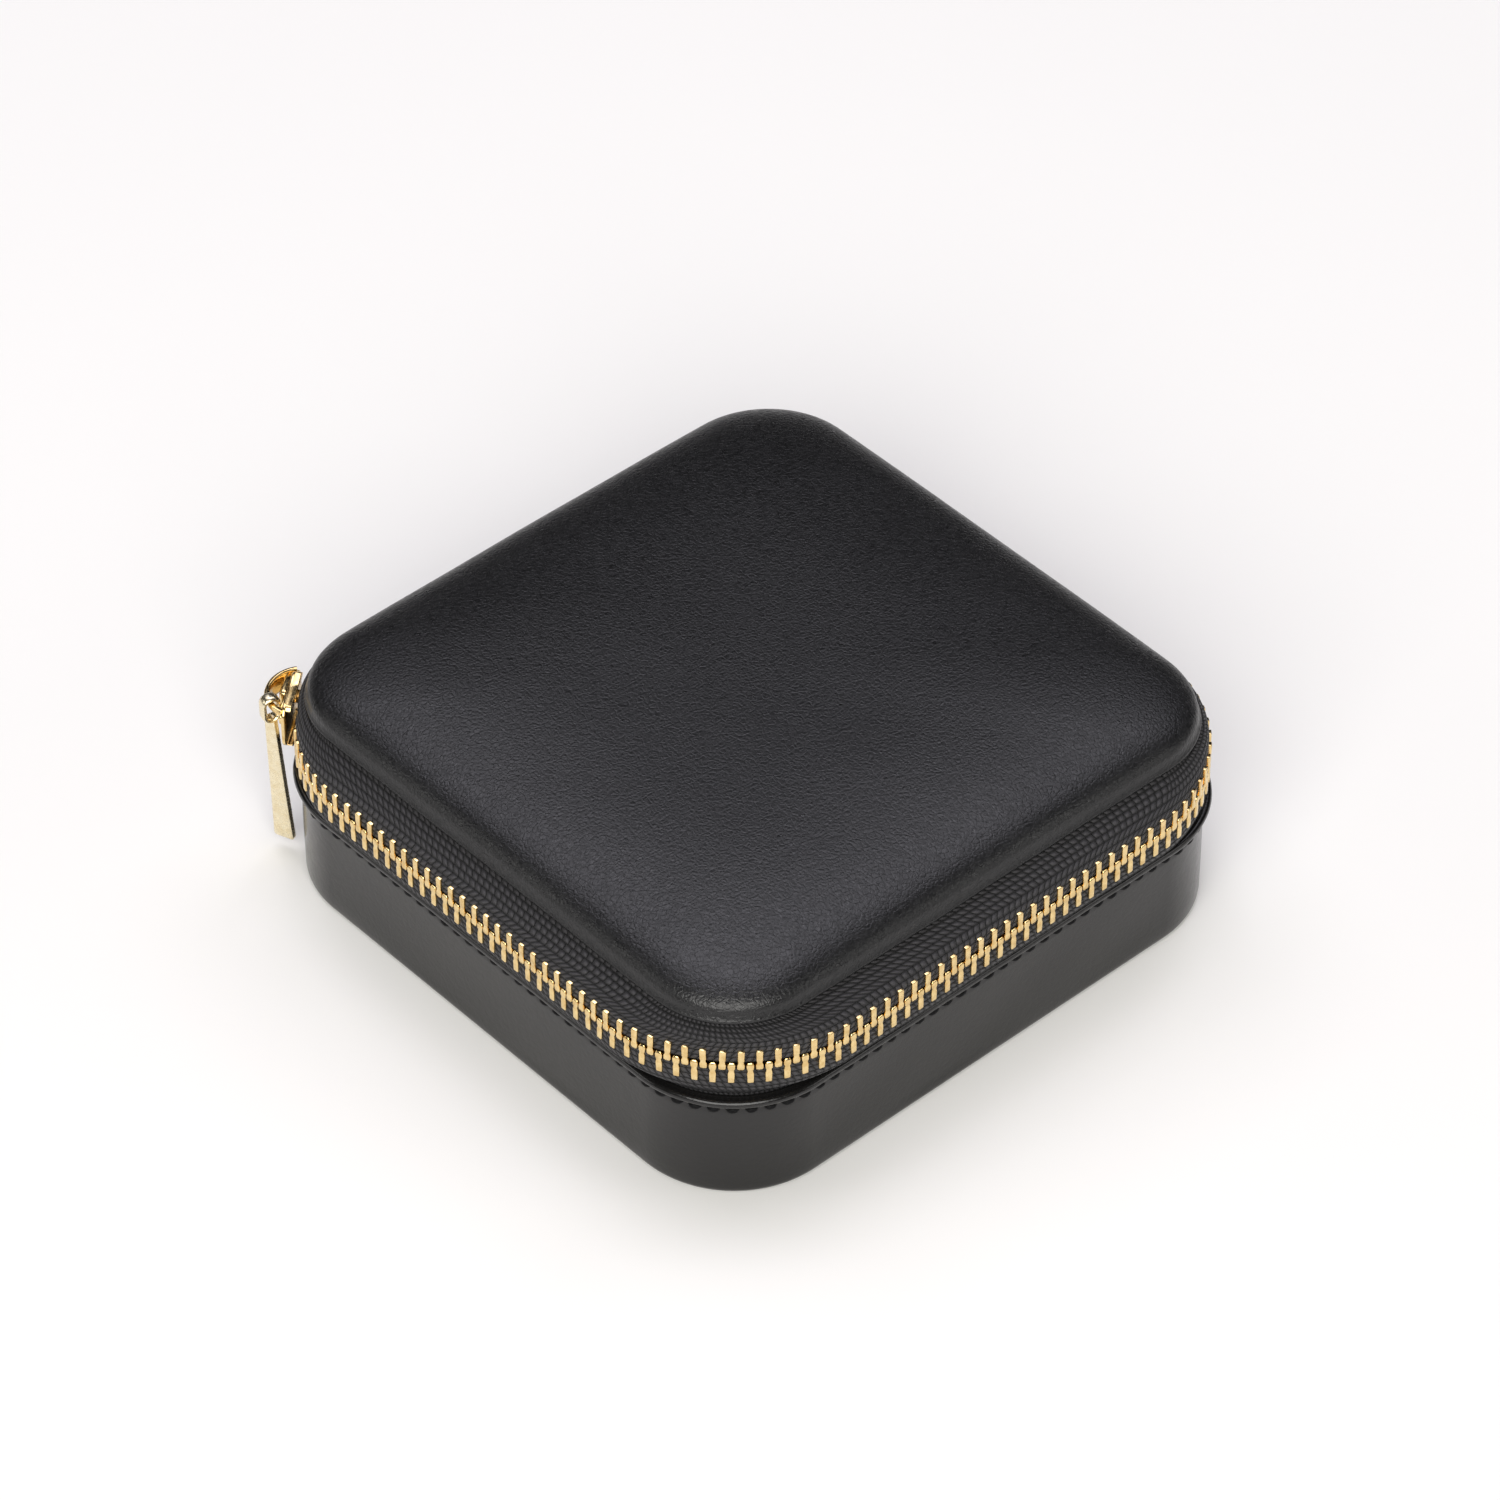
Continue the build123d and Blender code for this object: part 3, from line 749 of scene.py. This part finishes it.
def slider():
    """The slider: two plates, their flanges, the post between them and the pad under the arch."""
    place = slider_matrix()
    side = [(5.0, 2.6), (3.8, 3.9), (-1.0, 4.0), (-3.4, 4.6), (-4.6, 3.3), (-6.0, 2.8)]
    whole = rounded(side + [(y, -z) for y, z in reversed(side)], 0.9)
    low_side = [(-6.0, -2.8), (-4.6, -3.3), (-3.4, -4.6), (-1.0, -4.0), (3.8, -3.9), (5.0, -2.6)]
    inner = rounded([(5.0, 2.6), (4.4, 3.0), (-4.8, 3.0), (-6.0, 2.8)] + low_side, 0.9)
    flange = rounded([(4.3, 3.25), (3.7, 3.95), (-1.0, 4.05), (-3.4, 4.6), (-4.4, 3.6), (-3.6, 3.25)], 0.3)
    parts = [prism("plate", whole, 1.45, 2.15, place, BRASS, 0.28),
             prism("plate", inner, -2.15, -1.45, place, BRASS, 0.28),
             prism("flange", flange, 0.75, 1.6, place, BRASS, 0.15)]
    for low in (-1.6, 0.75):
        parts.append(prism("flange", [(y, -z) for y, z in flange], low, low + 0.85, place, BRASS, 0.15))
    parts.append(prism("post", rounded([(-2.0, 0.6), (-4.0, 0.6), (-4.0, -0.6), (-2.0, -0.6)], 0.3),
                       -1.5, 1.5, place, BRASS, 0.1))
    # the pad that the arch stands on
    pad = rounded([(4.4, 2.2), (4.4, 0.6), (-5.2, -0.6), (-5.2, 2.6), (-2.5, 3.3), (2.5, 3.2)], 0.8)
    parts.append(prism("pad", pad, 2.0, 2.6, place, BRASS, 0.25))
    boss = rounded([(0.2, 0.4), (0.2, 3.2), (-4.4, 3.2), (-4.4, 0.4)], 0.9)
    parts.append(prism("boss", boss, 2.0, 3.5, place, BRASS, 0.5))
    add_piece(sharpen(join(parts, "slider_plates")), "slider", "brass", "slider_body")


def bridge():
    """The arch that the pull hangs from: deep at the rear, a slim bar in front."""
    place = slider_matrix()
    verts = []
    steps, around = 40, 16
    reach, fade_from, fade_over = 68, 2, 14
    top, foot, radius, half_band, back = 3.6, 2.6, 5.25, 0.45, 0.6
    for n in range(steps + 1):
        angle = math.radians(-reach + 2 * reach * n / steps)
        fade = min(1, max(0, (math.degrees(angle) + fade_from) / fade_over))
        fade = fade * fade * (3 - 2 * fade)
        low = foot * fade
        middle, half_height = (top + low) / 2, (top - low) / 2
        for k in range(around):
            a = 2 * math.pi * (k + 0.5) / around
            r = radius + half_band * squared(math.cos(a), 0.7)
            z = middle + half_height * squared(math.sin(a), 0.45)
            verts.append(tuple(place @ Vector((r * math.cos(angle), r * math.sin(angle) - back, z))))
    obj = fix_normals(mesh_object("slider_arch", verts, capped(steps + 1, around), BRASS))
    add_piece(sharpen(obj), "slider", "brass", "slider_bridge")


def pull():
    """The pull: an eye round the arch, a short neck and a flat bar that widens to its foot."""
    place = (slider_matrix() @ Matrix.Translation((0, -0.6, 0)) @ Matrix.Rotation(math.radians(36), 4, "Z")
             @ Matrix.Translation((5.25, 0, 0)))
    # the eye, a flat racetrack ring seen edge on
    half_x, low, high, band, deep = 1.55, -0.3, 4.65, 0.8, 0.95
    verts = []
    steps, around = 48, 12
    radius = half_x - band / 2
    straight = (high - low) / 2 - half_x
    middle = (high + low) / 2
    for n in range(steps):
        a = 2 * math.pi * n / steps
        lift = straight if math.sin(a) >= 0 else -straight
        centre = Vector((radius * math.cos(a), 0, middle + lift + radius * math.sin(a)))
        outward = Vector((math.cos(a), 0, math.sin(a)))
        for k in range(around):
            b = 2 * math.pi * (k + 0.5) / around
            c, s = math.cos(b), math.sin(b)
            p = centre + outward * (band / 2 * squared(c, 0.75))
            p.y = deep * squared(s, 0.6)
            verts.append(tuple(place @ p))
    parts = [fix_normals(mesh_object("eye", verts, bands(steps, around, closed=True), PULL_METAL))]
    # the bar
    length = ZIP_Z + low + 0.3 - 2.2
    lean = (Matrix.Translation((0, 0, low + 0.3)) @ Matrix.Rotation(math.radians(2.5), 4, "Y")
            @ Matrix.Rotation(math.radians(36), 4, "Z"))
    profile = [(0.45, 0.55, 0.35), (0.1, 0.8, 0.5), (-0.6, 0.9, 0.55), (-3.0, 0.99, 0.55), (-8, 1.15, 0.55),
               (-14, 1.35, 0.55), (-20, 1.55, 0.55), (-length + 0.6, 1.69, 0.55),
               (-length + 0.25, 1.68, 0.53),
               (-length + 0.06, 1.6, 0.45), (-length, 1.5, 0.3)]
    verts = []
    around = 20
    for z, half_width, half_thick in profile:
        for k in range(around):
            b = 2 * math.pi * (k + 0.5) / around
            c, s = math.cos(b), math.sin(b)
            p = Vector((half_thick * squared(c, 0.35), half_width * squared(s, 0.3), z))
            verts.append(tuple(place @ lean @ p))
    parts.append(fix_normals(mesh_object("bar", verts, capped(len(profile), around), PULL_METAL)))
    add_piece(sharpen(join(parts, "zip_pull_bar"), 35), "pull", "pull_metal", "zip_pull")


# ---------------------------------------------------------------- the lid's outside

def dome_height(inset):
    """The padded lid's height above its leather's lower edge, by distance in from the side."""
    runs = [(0.0, 1.3), (0.15, 2.1), (0.5, 3.0), (1.1, 3.8), (2.5, 4.75), (5.0, 5.65), (9.0, 6.5),
            (15.0, 7.3), (24.0, 7.95), (38.0, 8.2), (52.0, 8.2)]
    xs, zs = zip(*runs)
    return float(np.interp(inset, xs, zs))


def lid_skin():
    """The lid's leather: a rolled lip below and a padded dome that falls a little at the corners."""
    sections = [(46.0, 12.0, LID_EDGE + 0.8), (46.0, 12.0, LID_EDGE), (48.6, 13.4, LID_EDGE)]
    for n in range(9):
        angle = math.radians(-90 + 18 * n)
        out = 0.5 * math.cos(angle) - 0.45
        sections.append((LID_HALF + out, LID_CORNER + out, LID_EDGE + 0.5 + 0.5 * math.sin(angle)))
    insets = [0.28, 0.4, 0.6, 0.9, 1.4, 2.0, 2.8, 3.8, 5.0, 6.5, 8.5, 11, 14, 17.5, 21.5, 26, 31, 36, 41,
              45.5, 49]
    for inset in insets:
        corner = LID_CORNER * (1 - inset / LID_HALF) ** 0.9
        sections.append((LID_HALF - inset, corner, LID_EDGE + dome_height(inset)))
    sections.append((1.2, 0.4, LID_TOP))
    verts = []
    sides, turns = 52, 26
    lip_top = LID_EDGE + 1.2
    for half, corner, z in sections:
        for x, y, nx, ny, along in course(half, corner, sides, turns):
            if z > lip_top:
                rise = min(1, (z - lip_top) / 3)
                u, v = x / LID_HALF, y / LID_HALF
                z_here = z - 0.55 * rise * (abs(u * v) ** 1.6)
                z_here += rise * (0.05 * math.sin(x / 11 + 0.6) * math.sin(y / 9 + 1.1)
                                  + 0.03 * math.sin(x / 4.3 + y / 6.1))
                verts.append((x, y, min(z_here, LID_TOP)))
            else:
                push = 0.05 * math.sin(along / 8.0) + 0.03 * math.sin(along / 3.1 + 0.5)
                verts.append((x + nx * push, y + ny * push, z))
    faces = capped(len(sections), 4 * (sides + turns))
    obj = fix_normals(mesh_object("lid_cushion", verts, faces, LID_LEATHER))
    soften(obj, LID_EDGE + 1.6, 3)
    add_piece(obj, "lid", "lid_leather", "lid_leather")


def soften(obj, above, rounds):
    """Relaxes a mesh above a height, in mm, so its profile has no breaks."""
    bm = bmesh.new()
    bm.from_mesh(obj.data)
    for _ in range(rounds):
        bmesh.ops.smooth_vert(bm, verts=[v for v in bm.verts if v.co.z > above * MM], factor=0.5,
                              use_axis_x=True, use_axis_y=True, use_axis_z=True)
    bm.to_mesh(obj.data)
    bm.free()


def spine():
    """One leather strip that folds behind the hinge, sewn into the tray and the lid."""
    profile = [(51.2, 13.0), (51.25, 16.5), (51.4, 19.6), (52.2, 21.0), (53.2, 22.3), (53.6, 24.0),
               (53.45, 25.6), (53.2, 26.5), (53.45, 27.4), (53.65, 28.6), (53.4, 29.8), (52.2, 31.2),
               (50.2, 32.4), (48.6, 32.7), (46.3, 32.7)]
    points = smooth_sections([(y, z, 0) for y, z in profile], 4)
    across, lap = 62, 0.7
    verts = []
    for y, z, _ in points:
        for n in range(across + 1):
            x = (SPINE_HALF + lap) * (2 * n / across - 1)
            edge = abs(x) / SPINE_HALF
            belly = 0.12 * math.sin(x / 6.5) * math.sin(z / 2.3) - 0.75 * max(0, edge - 0.9)
            verts.append((x, y + belly * (1 if 20 < z < 32 else 0), z))
    obj = mesh_object("hinge_leather", verts, grid(len(points), across + 1), SPINE_LEATHER)
    modifier(obj, "SOLIDIFY", thickness=0.9 * MM, offset=0.0)
    bake_modifiers(obj)
    fix_normals(obj)
    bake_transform(obj)
    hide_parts("hinge_spine_lower", "hinge_spine_upper")


# ---------------------------------------------------------------- inside

def inside_shell(name, body, node, flip):
    """A lining pressed into the tray or the lid, rolled over the edge of its collar."""
    inner, outer, lip = LINING_INNER, LINING_OUTER, COLLAR_OUTER
    edge = LINING_HIGH[2] if not flip else CEILING_LOW[2]
    deep = FLOOR_TOP if not flip else CEILING
    way = -1 if not flip else 1
    rows = [(1.0, 0.3, deep), (20, 5, deep), (38, 9, deep), (inner - 1.6, inner - INSET - 1.6, deep),
            (inner - 0.5, inner - INSET - 0.5, deep - way * 0.3), (inner, inner - INSET, deep - way * 1.3)]
    near = edge + way * 1.1
    for t in np.linspace(0, 1, 8)[1:]:
        rows.append((inner, inner - INSET, deep - way * 1.3 + (near - deep + way * 1.3) * float(t)))
    rows += [(inner + 0.12, inner - INSET + 0.12, edge + way * 0.35),
             (inner + 0.55, inner - INSET + 0.55, edge),
             (lip - 0.45, lip - INSET - 0.45, edge), (lip - 0.08, lip - INSET - 0.08, edge + way * 0.15),
             (lip, lip - INSET, edge + way * 0.5), (outer + 0.02, outer - INSET + 0.02, edge + way * 0.5),
             (outer, outer - INSET, deep + way * 0.6), (1.0, 0.3, deep + way * 0.6)]
    obj = swept(name, rows, LINING, 40, 20)
    bm = bmesh.new()
    bm.from_mesh(obj.data)
    bmesh.ops.holes_fill(bm, edges=[e for e in bm.edges if e.is_boundary], sides=0)
    bm.to_mesh(obj.data)
    bm.free()
    add_piece(fix_normals(obj), body, "lining", node)


def padded_wall(name, start, end, low, high, thick, node):
    """A divider: card under padded cloth with a round top edge, between two points in plan."""
    start, end = np.array(start, float), np.array(end, float)
    length = np.linalg.norm(end - start)
    way = (end - start) / length
    side = np.array([-way[1], way[0]])
    steps, verts = 48, []
    half = thick / 2
    profile = [(-half, low), (-half, low + 0.5)]
    profile += [(-half, z) for z in np.linspace(low + 3, high - half - 0.4, 6)]
    profile += [(-half * math.cos(math.radians(a)), high - half + half * math.sin(math.radians(a)))
                for a in (20, 45, 70, 90, 110, 135, 160)]
    profile += [(half, z) for z in np.linspace(high - half - 0.4, low + 3, 6)]
    profile += [(half, low + 0.5), (half, low)]
    for s in range(steps + 1):
        t = s / steps
        for offset, z in profile:
            rise = (z - low) / (high - low)
            soft = 0.10 * math.sin(t * 17 + rise * 4) * math.sin(rise * math.pi) * math.sin(t * math.pi)
            dip = 0.25 * math.sin(t * math.pi) ** 0.5 * max(0, rise - 0.9) * 10 * 0.35
            p = start + way * length * t + side * (offset + soft)
            verts.append((p[0], p[1], z - dip))
    obj = fix_normals(mesh_object(name, verts, capped(steps + 1, len(profile)), LINING))
    add_piece(obj, "base", "lining", node)


def cloth_pad(obj, voxel, pressure, cap):
    """Swells a closed mesh like a stuffed pad and gives back the relaxed shape."""
    modifier(obj, "REMESH", mode="VOXEL", voxel_size=voxel * MM)
    bake_modifiers(obj)
    before = np.array([v.co[:] for v in obj.data.vertices])
    scene = bpy.context.scene
    cloth = obj.modifiers.new("Cloth", "CLOTH")
    cloth.settings.use_pressure = True
    cloth.settings.uniform_pressure_force = pressure
    cloth.settings.tension_stiffness = 25
    cloth.settings.compression_stiffness = 25
    cloth.settings.bending_stiffness = 1.5
    cloth.settings.effector_weights.gravity = 0
    for frame_number in range(1, 21):
        scene.frame_set(frame_number)
    bake_modifiers(obj)
    scene.frame_set(1)
    after = np.array([v.co[:] for v in obj.data.vertices])
    move = after - before
    size = np.linalg.norm(move, axis=1, keepdims=True)
    move *= np.minimum(1, cap * MM / np.maximum(size, 1e-9))
    for vertex, place in zip(obj.data.vertices, before + move):
        vertex.co = place
    modifier(obj, "SUBSURF", levels=1, render_levels=1)
    bake_modifiers(obj)
    obj.data.polygons.foreach_set("use_smooth", [True] * len(obj.data.polygons))
    return obj


def ring_rolls():
    """Six stuffed rolls side by side; rings stand in the folds between them."""
    low, high = node_box("ring_roll_3")
    length, depth = high[0] - low[0], high[1] - low[1]
    middle = (low[0] + high[0]) / 2
    inset = 0.55
    verts = []
    steps, around = 26, 28
    crown = high[2] - depth / 2
    for s in range(steps + 1):
        t = 2 * s / steps - 1
        end = math.sqrt(max(0.0, 1 - abs(t) ** 9)) * 0.94 + 0.06
        for k in range(around):
            a = 2 * math.pi * k / around
            c, z = math.cos(a), math.sin(a)
            y = (depth / 2 - inset) * squared(c, 0.8) * end
            if z >= 0:
                height = crown + (depth / 2 - inset) * z * end
            else:
                height = crown + (crown - low[2] - 0.15) * squared(z, 0.45) * (0.8 + 0.2 * end)
            verts.append((middle + (length / 2 - 0.35) * t, y, height))
    template = fix_normals(mesh_object("roll_template", verts, capped(steps + 1, around), LINING))
    cloth_pad(template, 1.6, 3.0, 0.5)
    corner, corner_clear = 13.0, 12.7
    centre = LINING_INNER - corner
    for number in range(1, 7):
        low, high = node_box(f"ring_roll_{number}")
        y_middle = {1: high[1] - depth / 2, 6: low[1] + depth / 2}.get(number, (low[1] + high[1]) / 2)
        if number in (1, 6):
            y_middle = math.copysign(LINING_INNER - (depth + 0.5) / 2, y_middle)
        mesh = template.data.copy()
        mesh.name = f"ring_pad_{number}"
        obj = link(bpy.data.objects.new(f"ring_pad_{number}", mesh))
        for vertex in mesh.vertices:
            x, y, z = vertex.co / MM
            y += y_middle
            y += 0.08 * math.sin(x / 5 + number) * max(0, (z - 8) / 12)
            # keep clear of the tray's rounded inner corners
            reach = math.hypot(x + centre, abs(y) - centre)
            if x < -centre and abs(y) > centre and reach > corner_clear:
                scale = corner_clear / reach
                x = -centre + (x + centre) * scale
                y = math.copysign(centre + (abs(y) - centre) * scale, y)
            x = max(x, -LINING_INNER + 0.1)
            y = min(max(y, -LINING_INNER + 0.1), LINING_INNER - 0.1)
            vertex.co = (x * MM, y * MM, max(z, FLOOR_TOP + 0.02) * MM)
        add_piece(obj, "base", "lining", f"ring_roll_{number}")
    bpy.data.objects.remove(template)


def pocket():
    """A gathered cloth pocket under the lid's ceiling, with a ruffled elastic mouth."""
    half = POCKET_HIGH[0] - 0.2
    front, back = POCKET_LOW[1], POCKET_HIGH[1] - 0.2
    top, low = POCKET_HIGH[2] - 0.1, POCKET_LOW[2] + 0.45
    across, deep = 220, 40
    verts = []
    for r in range(deep + 1):
        v = r / deep
        y = front + (back - front) * v
        for n in range(across + 1):
            u = 2 * n / across - 1
            x = half * u
            side = max(0.0, 1 - abs(u) ** 8) ** 0.5
            rear = max(0.0, 1 - v ** 6) ** 0.5
            corner = max(0, math.hypot(max(0, abs(x) - half + 8), max(0, y - back + 8)) - 8)
            bag = side * rear * max(0.0, 1 - corner)
            gather = math.sin(n * 2 * math.pi / 6.3 + 0.6 * math.sin(n / 11.0))
            gather *= 0.42 * (1 - v) ** 1.6 + 0.05
            z = top + (low + 0.35 - top) * bag + gather * side * (1 if bag > 0.1 else 0)
            verts.append((x, y, min(z, top)))
    obj = mesh_object("lid_pouch", verts, grid(deep + 1, across + 1), LINING)
    modifier(obj, "SOLIDIFY", thickness=0.35 * MM, offset=0.0)
    bake_modifiers(obj)
    fix_normals(obj)
    mouth = elastic(half, front, low)
    add_piece(obj, "lid", "lining", "lid_pocket")
    add_piece(mouth, "lid", "elastic", "pocket_elastic")


def elastic(half, front, low):
    """The pocket's mouth: elastic in a ruffled casing."""
    verts = []
    steps, around = 440, 10
    for s in range(steps + 1):
        u = 2 * s / steps - 1
        x = (half - 0.2) * u
        ruffle = math.sin(s * 2 * math.pi / 12.6 + 0.7 * math.sin(s / 22.0))
        rise = max(0.0, 1 - abs(u) ** 8) ** 0.5
        z_middle = low + 0.1 + (1 - rise) * 3.5 + 0.12 * ruffle
        for k in range(around):
            a = 2 * math.pi * k / around
            size = 0.42 + 0.1 * ruffle
            y = front - 0.9 + (1.0 + 0.12 * ruffle) * math.cos(a)
            verts.append((x, y, z_middle + size * math.sin(a)))
    return fix_normals(mesh_object("pouch_elastic", verts, capped(steps + 1, around), ELASTIC))


def inside():
    """The guessed interior: linings, dividers, ring rolls and pocket, and the boards under them."""
    divider_thick = 2.3
    inside_shell("tray_lining_cloth", "base", "base_lining", False)
    inside_shell("lid_lining_cloth", "lid", "lid_lining", True)
    low, high = node_box("divider_long")
    x = (low[0] + high[0]) / 2
    padded_wall("divider_long_pad", (x, low[1] + 0.05), (x, high[1] - 0.05), FLOOR_TOP, high[2],
                divider_thick, "divider_long")
    low, high = node_box("divider_cross")
    y = (low[1] + high[1]) / 2
    padded_wall("divider_cross_pad", (low[0], y), (high[0] - 0.05, y), FLOOR_TOP, high[2], divider_thick,
                "divider_cross")
    ring_rolls()
    pocket()
    for node, look in (("base_board", BOARD), ("base_collar", LINING), ("lid_board", BOARD),
                       ("lid_card", BOARD), ("lid_collar", LINING), ("lid_foam", FOAM),
                       ("lid_padding", FOAM)):
        dress(node, look)


tapes()
zip_rows()
slider()
bridge()
pull()
lid_skin()
seam_half, seam_corner = LID_HALF - 1.1, LID_CORNER - 0.9
slope = math.atan2(ZIP_HALF + 0.2 - LID_HALF + 1.0, TAPE_SEAT - ZIP_Z - 4.0)
stitches("lid_stitches", seam_half, seam_corner, TAPE_SEAT + 0.02, slope, "lid", "lid_stitching",
         distance_at(seam_half, seam_corner, 100), distance_at(seam_half, seam_corner, 440))
spine()
inside()


# ---------------------------------------------------------------- the studio

def studio():
    """A pale floor, a faint surround and soft lights: cool ones behind, a large warm one in front."""
    pale, paler, span, under = (0.926, 0.918, 0.896), (0.93, 0.922, 0.9), 4000, -0.02
    floor_look = Look("floor", paler, 0.9)
    floor_look.shader.inputs["Specular IOR Level"].default_value = 0.15
    floor_look.feed("Base Color", floor_look.blend(floor_look.noise(3, 2), paler, pale))
    corners = [(x * span, y * span, under) for x, y in ((-1, -1), (1, -1), (1, 1), (-1, 1))]
    mesh_object("floor", corners, [(0, 1, 2, 3)], floor_look.material)

    world = bpy.data.worlds.new("studio")
    world.use_nodes = True
    world.node_tree.nodes["Background"].inputs[0].default_value = (1.0, 0.985, 0.965, 1)
    world.node_tree.nodes["Background"].inputs[1].default_value = 0.01
    bpy.context.scene.world = world

    cool, warm, soft = (0.93, 0.91, 1.0), (1, 0.985, 0.955), (1, 0.985, 0.96)
    # name, place, the height it looks at, size, power, colour
    for name, place, aim, size, power, color in (
            ("rear_left", (0.02, 0.85, 1.3), 0.02, (0.9, 0.7), 4.3, cool),
            ("rear_right", (0.85, 0.12, 1.3), 0.02, (0.9, 0.7), 3.8, cool),
            ("high", (0.22, 0.25, 1.7), 0.02, (0.8, 0.8), 6.8, cool),
            ("side_left", (-1.2, 0.85, 0.6), 0.03, (0.8, 0.5), 2.6, soft),
            ("side_right", (0.85, -1.2, 0.6), 0.03, (0.8, 0.5), 2.6, soft),
            ("front", (-1.25, -1.15, 1.35), 0.02, (2.2, 1.6), 55, warm)):
        data = bpy.data.lights.new(name, "AREA")
        data.shape = "RECTANGLE"
        data.size, data.size_y = size
        data.energy = power
        data.color = color
        obj = link(bpy.data.objects.new(name, data))
        obj.location = place
        obj.rotation_euler = (Vector((0, 0, aim)) - Vector(place)).to_track_quat("-Z", "Y").to_euler()


def camera():
    """The view from above the front corner."""
    data = bpy.data.cameras.new("camera")
    data.sensor_width = 36
    data.lens = 158.1
    data.clip_start, data.clip_end = 0.01, 50
    obj = link(bpy.data.objects.new("camera", data))
    obj.location = (-0.47842, -0.52928, 0.68634)
    way = Vector((0.00809, 0.00934, 0.01306)) - Vector(obj.location)
    obj.rotation_euler = way.to_track_quat("-Z", "Y").to_euler()
    bpy.context.scene.camera = obj


studio()
camera()
bpy.context.scene.view_settings.view_transform = "Standard"
